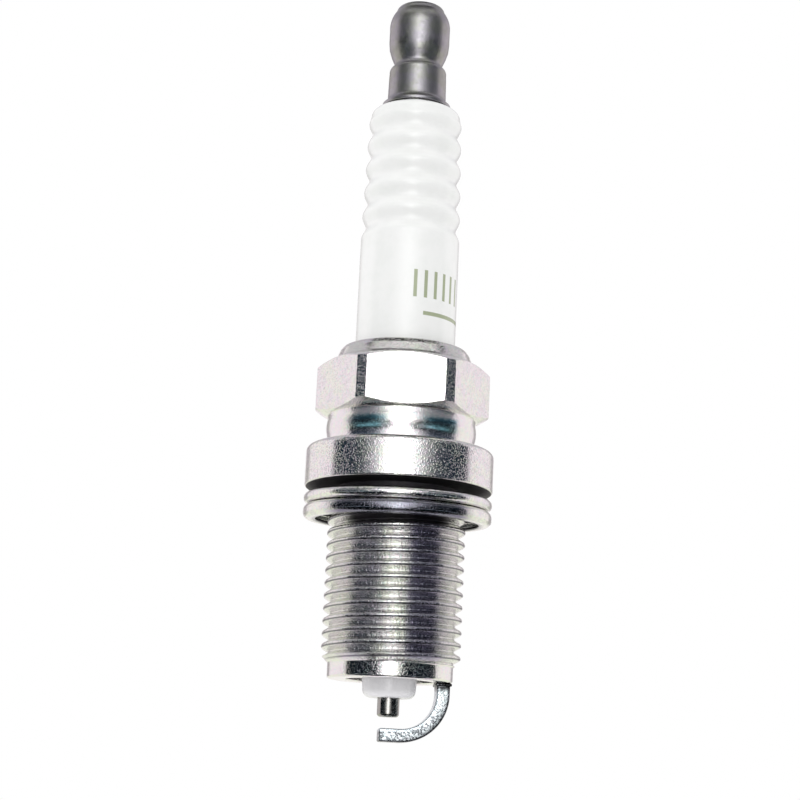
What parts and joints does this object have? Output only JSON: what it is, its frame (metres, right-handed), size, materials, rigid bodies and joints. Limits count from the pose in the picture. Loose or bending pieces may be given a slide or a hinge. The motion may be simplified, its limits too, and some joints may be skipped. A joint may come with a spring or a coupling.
{
  "type": "spark plug",
  "caption": "Spark plug with a threaded shank, hexagon, folded ring gasket, ribbed ceramic insulator, screw-on barrel terminal and a single side strap over the centre electrode.",
  "frame": {"origin": "on the plug's axis, in the plane of the seat face under the flange", "axes": "+Z along the axis towards the terminal, -Z out of the firing end, a hexagon corner at +X and a hexagon flat facing -Y; the side strap is welded on 10 degrees from +X towards +Y"},
  "size_m": [0.019, 0.0191, 0.0769],
  "materials": {
    "zinc_plated_steel": "bright zinc plating, satin",
    "gasket_steel": "plated sheet steel",
    "nickel_alloy": "bright drawn wire",
    "glazed_alumina": "white glaze on the barrel, bare on the nose",
    "electrode_nickel": "drawn nickel",
    "copper": "plain copper",
    "fused_glass": "fused conductive glass",
    "resistor_compound": "matt",
    "terminal_steel": "dark nickel plated steel, satin",
    "packing_steel": "plain steel",
    "talc": "pressed powder"
  },
  "bodies": {
    "plug": {"metal_shell": "zinc_plated_steel", "ground_electrode": "nickel_alloy", "insulator": "glazed_alumina", "centre_electrode": "electrode_nickel", "copper_core": "copper", "lower_glass_seal": "fused_glass", "resistor_element": "resistor_compound", "upper_glass_seal": "fused_glass", "terminal_stud": "terminal_steel", "seat_packing_washer": "packing_steel", "lower_packing_ring": "packing_steel", "talc_packing": "talc", "upper_packing_ring": "packing_steel"},
    "ring": {"gasket": "gasket_steel"},
    "nut": {"terminal_nut": "terminal_steel"}
  },
  "joints": [
    {"name": "gasket_seating", "type": "hinge", "parent": "plug", "child": "ring", "pos_m": [0, 0.01636, -0.00003], "axis": [-1, 0, 0], "range_deg": [0, 2.1]},
    {"name": "nut_lift", "type": "slide", "parent": "plug", "child": "nut", "axis": [0, 0, 1], "range_m": [0, 0.01]}
  ]
}
